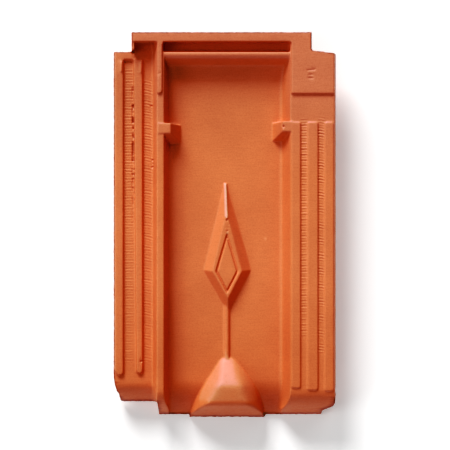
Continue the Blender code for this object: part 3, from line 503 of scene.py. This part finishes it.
def rim_share(mm, segments, reach):
    """1 at the outer edge of the tile, falling to 0 at the given distance inside it."""
    nearest = np.full(len(mm), reach)
    for segment in segments:
        low_x, high_x = sorted((segment[0], segment[2]))
        low_y, high_y = sorted((segment[1], segment[3]))
        near_x = (mm[:, 0] > low_x - reach) & (mm[:, 0] < high_x + reach)
        near_y = (mm[:, 1] > low_y - reach) & (mm[:, 1] < high_y + reach)
        chosen = np.nonzero(near_x & near_y)[0]
        if len(chosen):
            nearest[chosen] = np.minimum(nearest[chosen], segment_distance(mm[chosen], *segment))
    return eased(1 - nearest / reach)


def painted_highlight_share(mm, up):
    """Where paler colour is painted as highlight and sheen: the ridge of the lozenge, the nose and
    its left crest.
    """
    share = np.zeros(len(mm))
    for x0, y0, x1, y1, half, strength in HIGHLIGHT_LINES:
        away = segment_distance(mm, x0, y0, x1, y1) / half
        share = np.maximum(share, strength * np.clip(HIGHLIGHT_CORE - HIGHLIGHT_CORE * away, 0, 1))
    share *= (up > HIGHLIGHT_FACES_UP) * (mm[:, 2] > HIGHLIGHT_LEVEL)
    x0, x1 = NOSE_BOX[:2]
    nose = band(mm[:, 0], x0, x1, NOSE_SIDE_SOFT) * band(mm[:, 1], *HIGHLIGHT_SPAN, HIGHLIGHT_SOFT)
    nose = nose * np.clip(mm[:, 2] - HIGHLIGHT_LEVEL, 0, 1)
    brow = nose * band(mm[:, 1], *BROW_SPAN, BROW_END_SOFT) * band(mm[:, 0], *BROW_SIDES, HIGHLIGHT_SOFT)
    flank = NOSE_HIGHLIGHT + LEFT_HIGHLIGHT * np.clip(-mm[:, 0] / LEFT_FADE, 0, 1)
    highlighted = np.maximum(share, flank * nose + BROW_HIGHLIGHT * brow)
    return highlighted * (HIGHLIGHT_EVEN + layered(mm, HIGHLIGHT_PATCHES))


def dress_tile():
    """A finer copy of the solid, with soft edges and the marks of pressing and handling; it also
    keeps where shade and highlights are painted.
    """
    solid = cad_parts["clay_tile"]
    tile = bpy.data.objects.new("tile_body", solid.data.copy())
    bpy.context.scene.collection.objects.link(tile)
    voxel = VOXEL
    applied(tile, "REMESH", mode="VOXEL", voxel_size=voxel, use_smooth_shade=True)
    mesh = tile.data
    edges = np.empty(len(mesh.edges) * 2, dtype=np.int32)
    mesh.edges.foreach_get("vertices", edges)
    edges = edges.reshape(-1, 2)
    points = smoothed(read_points(mesh), edges, SMOOTH_ROUNDS)
    points = softened_nose(points, edges)
    write_points(mesh, points)
    normals = read_normals(mesh)
    mm = points / MM
    up = normals[:, 2]
    segments = rim_segments(solid)
    swell = layered(mm, SURFACE_SWELL)
    swell += press_marks(mm, up) + burrs(mm) - dents(mm, up)
    swell -= rim_share(mm, segments, RIM_REACH) * RIM_WEAR * (1 + layered(mm, RIM_ROUGHNESS))
    points = points + normals * (swell * MM)[:, None]
    points = np.clip(points, np.array(cad_box[0]), np.array(cad_box[1]))
    write_points(mesh, points)
    count = sum(len(face.vertices) - 2 for face in mesh.polygons)
    if count > TRIANGLES:
        coarse = tile.vertex_groups.new(name="coarse")
        coarse.add(np.nonzero(~rippled(mm))[0].tolist(), 1.0, "REPLACE")
        ratio = TRIANGLES / count
        applied(tile, "DECIMATE", decimate_type="COLLAPSE", ratio=ratio, vertex_group="coarse")
    mm = read_points(tile.data) / MM
    up = read_normals(tile.data)[:, 2]
    # Painted shade along the outer edge and the foot, and in the torn marks
    edge_painted_shade = RIM_PAINTED_SHADE * rim_share(mm, segments, RIM_REACH)
    foot_painted_shade = FOOT_PAINTED_SHADE * rim_share(mm, segments, FOOT_REACH) * (mm[:, 1] < FOOT_EDGE)
    faces_up = np.clip((up - RIM_FACES_UP) / RIM_UP_SOFT, 0, 1)
    edge_painted_shade = np.clip(np.maximum(edge_painted_shade, foot_painted_shade), 0, 1) * faces_up
    store(tile.data, "painted_shade", np.maximum(edge_painted_shade, TORN_PAINTED_SHADE * torn_marks(mm)))
    # Painted highlight and sheen on the ridge, the nose and its left crest
    store(tile.data, "painted_highlight", painted_highlight_share(mm, up))
    tile.data.shade_smooth()
    return tile


def terracotta():
    """Unglazed orange clay: mottled, finely grained, matt, with painted highlights on the crests and
    painted shade along the outer edge and in the torn marks.
    """
    material = bpy.data.materials.new("terracotta")
    material.use_nodes = True
    tree = material.node_tree
    nodes, links = tree.nodes, tree.links
    shader = nodes["Principled BSDF"]
    place = nodes.new("ShaderNodeTexCoord")

    def noise(scale, roughness=0.5):
        made = nodes.new("ShaderNodeTexNoise")
        made.inputs["Scale"].default_value = scale
        made.inputs["Detail"].default_value = NOISE_DETAIL
        made.inputs["Roughness"].default_value = roughness
        links.new(place.outputs["Object"], made.inputs["Vector"])
        return made.outputs["Fac"]

    def ramp(source, stops):
        made = nodes.new("ShaderNodeValToRGB")
        made.color_ramp.elements[0].position = stops[0][0]
        made.color_ramp.elements[0].color = (*stops[0][1], 1)
        made.color_ramp.elements[1].position = stops[-1][0]
        made.color_ramp.elements[1].color = (*stops[-1][1], 1)
        for position, colour in stops[1:-1]:
            made.color_ramp.elements.new(position).color = (*colour, 1)
        links.new(source, made.inputs["Fac"])
        return made.outputs["Color"]

    def mix(first, second, factor, kind="MIX"):
        made = nodes.new("ShaderNodeMix")
        made.data_type = "RGBA"
        made.blend_type = kind
        for slot, value in (("Factor_Float", factor), ("A_Color", first), ("B_Color", second)):
            socket = next(s for s in made.inputs if s.identifier == slot)
            if isinstance(value, bpy.types.NodeSocket):
                links.new(value, socket)
            elif slot == "Factor_Float":
                socket.default_value = value
            else:
                socket.default_value = (*value, 1)
        return next(s for s in made.outputs if s.identifier == "Result_Color")

    def clay(tint):
        shades = [tuple(part * tone for part in tint) for tone in MOTTLE_TONES]
        return ramp(noise(MOTTLE_SCALE), list(zip(MOTTLE_STOPS, shades)))

    along = nodes.new("ShaderNodeSeparateXYZ")
    links.new(place.outputs["Object"], along.inputs["Vector"])

    def towards(axis, start, end):
        made = nodes.new("ShaderNodeMapRange")
        made.inputs["From Min"].default_value = start
        made.inputs["From Max"].default_value = end
        links.new(along.outputs[axis], made.inputs["Value"])
        return made.outputs["Result"]

    def product(first, second):
        made = nodes.new("ShaderNodeMath")
        made.operation = "MULTIPLY"
        links.new(first, made.inputs[0])
        links.new(second, made.inputs[1])
        return made.outputs["Value"]

    def stored(name):
        made = nodes.new("ShaderNodeAttribute")
        made.attribute_name = name
        return made.outputs["Fac"]

    def bump(scale, roughness, strength, distance):
        made = nodes.new("ShaderNodeBump")
        made.inputs["Strength"].default_value = strength
        made.inputs["Distance"].default_value = distance
        links.new(noise(scale, roughness), made.inputs["Height"])
        return made

    broad = mix(clay(BODY_TINT), clay(PAN_HEAD_TINT), towards("Y", *PAN_HEAD_FADE))
    top = product(towards("Y", *HEAD_FADE), towards("Z", *HEAD_LEVELS))
    broad = mix(broad, clay(HEAD_TINT), top)
    broad = mix(broad, clay(FOOT_TINT), towards("Y", *FOOT_FADE))
    speck = ramp(noise(SPECK_SCALE, SPECK_ROUGHNESS), SPECKS)
    colour = mix(broad, speck, SPECK_SHARE, "MULTIPLY")
    streaks = nodes.new("ShaderNodeMapping")
    streaks.inputs["Scale"].default_value = STREAK_SCALES
    links.new(place.outputs["Object"], streaks.inputs["Vector"])
    streak = nodes.new("ShaderNodeTexNoise")
    streak.inputs["Scale"].default_value = 1
    links.new(streaks.outputs["Vector"], streak.inputs["Vector"])
    colour = mix(colour, ramp(streak.outputs["Fac"], STREAKS), STREAK_SHARE, "MULTIPLY")
    # Painted highlight: a paler colour where sheen falls
    colour = mix(colour, PAINTED_HIGHLIGHT_TINT, stored("painted_highlight"))
    # Painted shade: a dark colour along the outer edge and in the torn marks
    edge = product(stored("painted_shade"), ramp(noise(PATCH_SCALE), PAINTED_SHADE_PATCHES))
    links.new(mix(colour, PAINTED_SHADE_TINT, edge), shader.inputs["Base Color"])
    links.new(ramp(noise(ROUGH_SCALE), ROUGH_STOPS), shader.inputs["Roughness"])
    fine_bump = bump(*FINE_BUMP)
    broad_bump = bump(*BROAD_BUMP)
    links.new(fine_bump.outputs["Normal"], broad_bump.inputs["Normal"])
    links.new(broad_bump.outputs["Normal"], shader.inputs["Normal"])
    return material


def lay_floor():
    """A plain pale floor."""
    bpy.ops.mesh.primitive_plane_add(size=FLOOR_SIZE, location=(0, 0, 0))
    floor = bpy.context.object
    floor.name = "floor"
    material = bpy.data.materials.new("floor")
    material.use_nodes = True
    shader = material.node_tree.nodes["Principled BSDF"]
    shader.inputs["Base Color"].default_value = FLOOR_TINT
    shader.inputs["Emission Color"].default_value = WHITE
    shader.inputs["Emission Strength"].default_value = FLOOR_GLOW
    shader.inputs["Roughness"].default_value = FLOOR_ROUGHNESS
    floor.data.materials.append(material)


def light_studio():
    """A large soft lamp from the head and the left, weak fills from the other sides."""
    world = bpy.data.worlds.new("studio")
    bpy.context.scene.world = world
    world.use_nodes = True
    background = world.node_tree.nodes["Background"]
    background.inputs["Color"].default_value = WHITE
    background.inputs["Strength"].default_value = WORLD_STRENGTH
    for name, azimuth, elevation, strength, spread in LAMPS:
        data = bpy.data.lights.new(name, "SUN")
        data.energy = strength
        data.angle = math.radians(spread)
        lamp = bpy.data.objects.new(name, data)
        bpy.context.scene.collection.objects.link(lamp)
        turn, lift = math.radians(azimuth), math.radians(elevation)
        flat = math.cos(lift)
        aim = Vector((-math.sin(turn) * flat, math.cos(turn) * flat, math.sin(lift)))
        lamp.rotation_euler = aim.to_track_quat("Z", "Y").to_euler()
        lamp.location = aim * LAMP_DISTANCE


def set_camera():
    """A long lens straight above the tile, so that one pixel is the photo's pixel."""
    data = bpy.data.cameras.new("camera")
    data.sensor_width = SENSOR
    data.lens = SENSOR * (CAMERA_HEIGHT - AIM_LEVEL) / (IMAGE * PIXEL)
    data.clip_end = CAMERA_CLIP
    camera = bpy.data.objects.new("camera", data)
    bpy.context.scene.collection.objects.link(camera)
    camera.location = (CAMERA_SIDE, 0, CAMERA_HEIGHT)
    bpy.context.scene.camera = camera


def set_tone():
    """The tone curves, one for each colour."""
    view = bpy.context.scene.view_settings
    view.view_transform = "Standard"
    view.look = "None"
    view.use_curve_mapping = True
    for curve, tone in zip(view.curve_mapping.curves, TONES):
        for place, level in tone:
            curve.points.new(place, level)
    view.curve_mapping.update()


tile = dress_tile()
tile.data.materials.clear()
tile.data.materials.append(terracotta())
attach(tile, "root")
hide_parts("clay_tile")
lay_floor()
light_studio()
set_camera()
set_tone()
